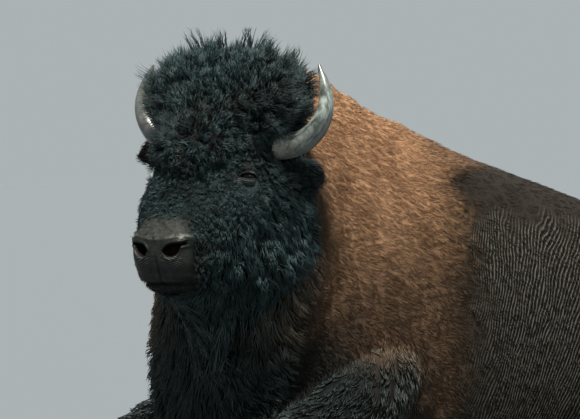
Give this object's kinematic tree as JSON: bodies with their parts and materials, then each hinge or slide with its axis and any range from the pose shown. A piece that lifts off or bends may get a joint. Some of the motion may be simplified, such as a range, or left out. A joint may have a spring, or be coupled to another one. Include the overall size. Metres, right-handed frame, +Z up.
{
  "type": "american bison bull lying down",
  "caption": "Life-size bull bison lying on its chest with folded legs, raised shaggy head, hump, curved horns and beard.",
  "frame": {"origin": "middle of the bounding box, on the floor", "axes": "+X from head to rump along the body, +Y to the animal's right, +Z up"},
  "size_m": [2.4798, 1.0868, 1.2786],
  "materials": {
    "black_hair": "coarse curly black hair",
    "brown_cape": "woolly brown coat",
    "dark_coat": "short smooth dark brown coat",
    "skin": "dark skin under the coat, bare and moist at the nose",
    "horn": "grey horn, rough at the root and polished at the tip",
    "hoof": "dark worn hoof",
    "eye": "wet dark eye"
  },
  "bodies": {
    "root": {"head": "black_hair", "beard": "black_hair", "neck": "black_hair", "ear_left": "black_hair", "ear_right": "black_hair", "tail": "black_hair", "tail_tuft": "black_hair", "trunk_front": "brown_cape", "trunk_middle": "dark_coat", "trunk_rear": "dark_coat", "foreleg_left_upper": "dark_coat", "foreleg_left_lower": "dark_coat", "hoof_foreleg_left_outer": "hoof", "dewclaw_foreleg_left_outer": "hoof", "hoof_foreleg_left_inner": "hoof", "dewclaw_foreleg_left_inner": "hoof", "hindleg_left_upper": "dark_coat", "hindleg_left_lower": "dark_coat", "hoof_hindleg_left_outer": "hoof", "dewclaw_hindleg_left_outer": "hoof", "hoof_hindleg_left_inner": "hoof", "dewclaw_hindleg_left_inner": "hoof", "horn_left": "horn", "eye_left": "eye", "foreleg_right_upper": "dark_coat", "foreleg_right_lower": "dark_coat", "hoof_foreleg_right_outer": "hoof", "dewclaw_foreleg_right_outer": "hoof", "hoof_foreleg_right_inner": "hoof", "dewclaw_foreleg_right_inner": "hoof", "hindleg_right_upper": "dark_coat", "hindleg_right_lower": "dark_coat", "hoof_hindleg_right_outer": "hoof", "dewclaw_hindleg_right_outer": "hoof", "hoof_hindleg_right_inner": "hoof", "dewclaw_hindleg_right_inner": "hoof", "horn_right": "horn", "eye_right": "eye"}
  },
  "joints": []
}
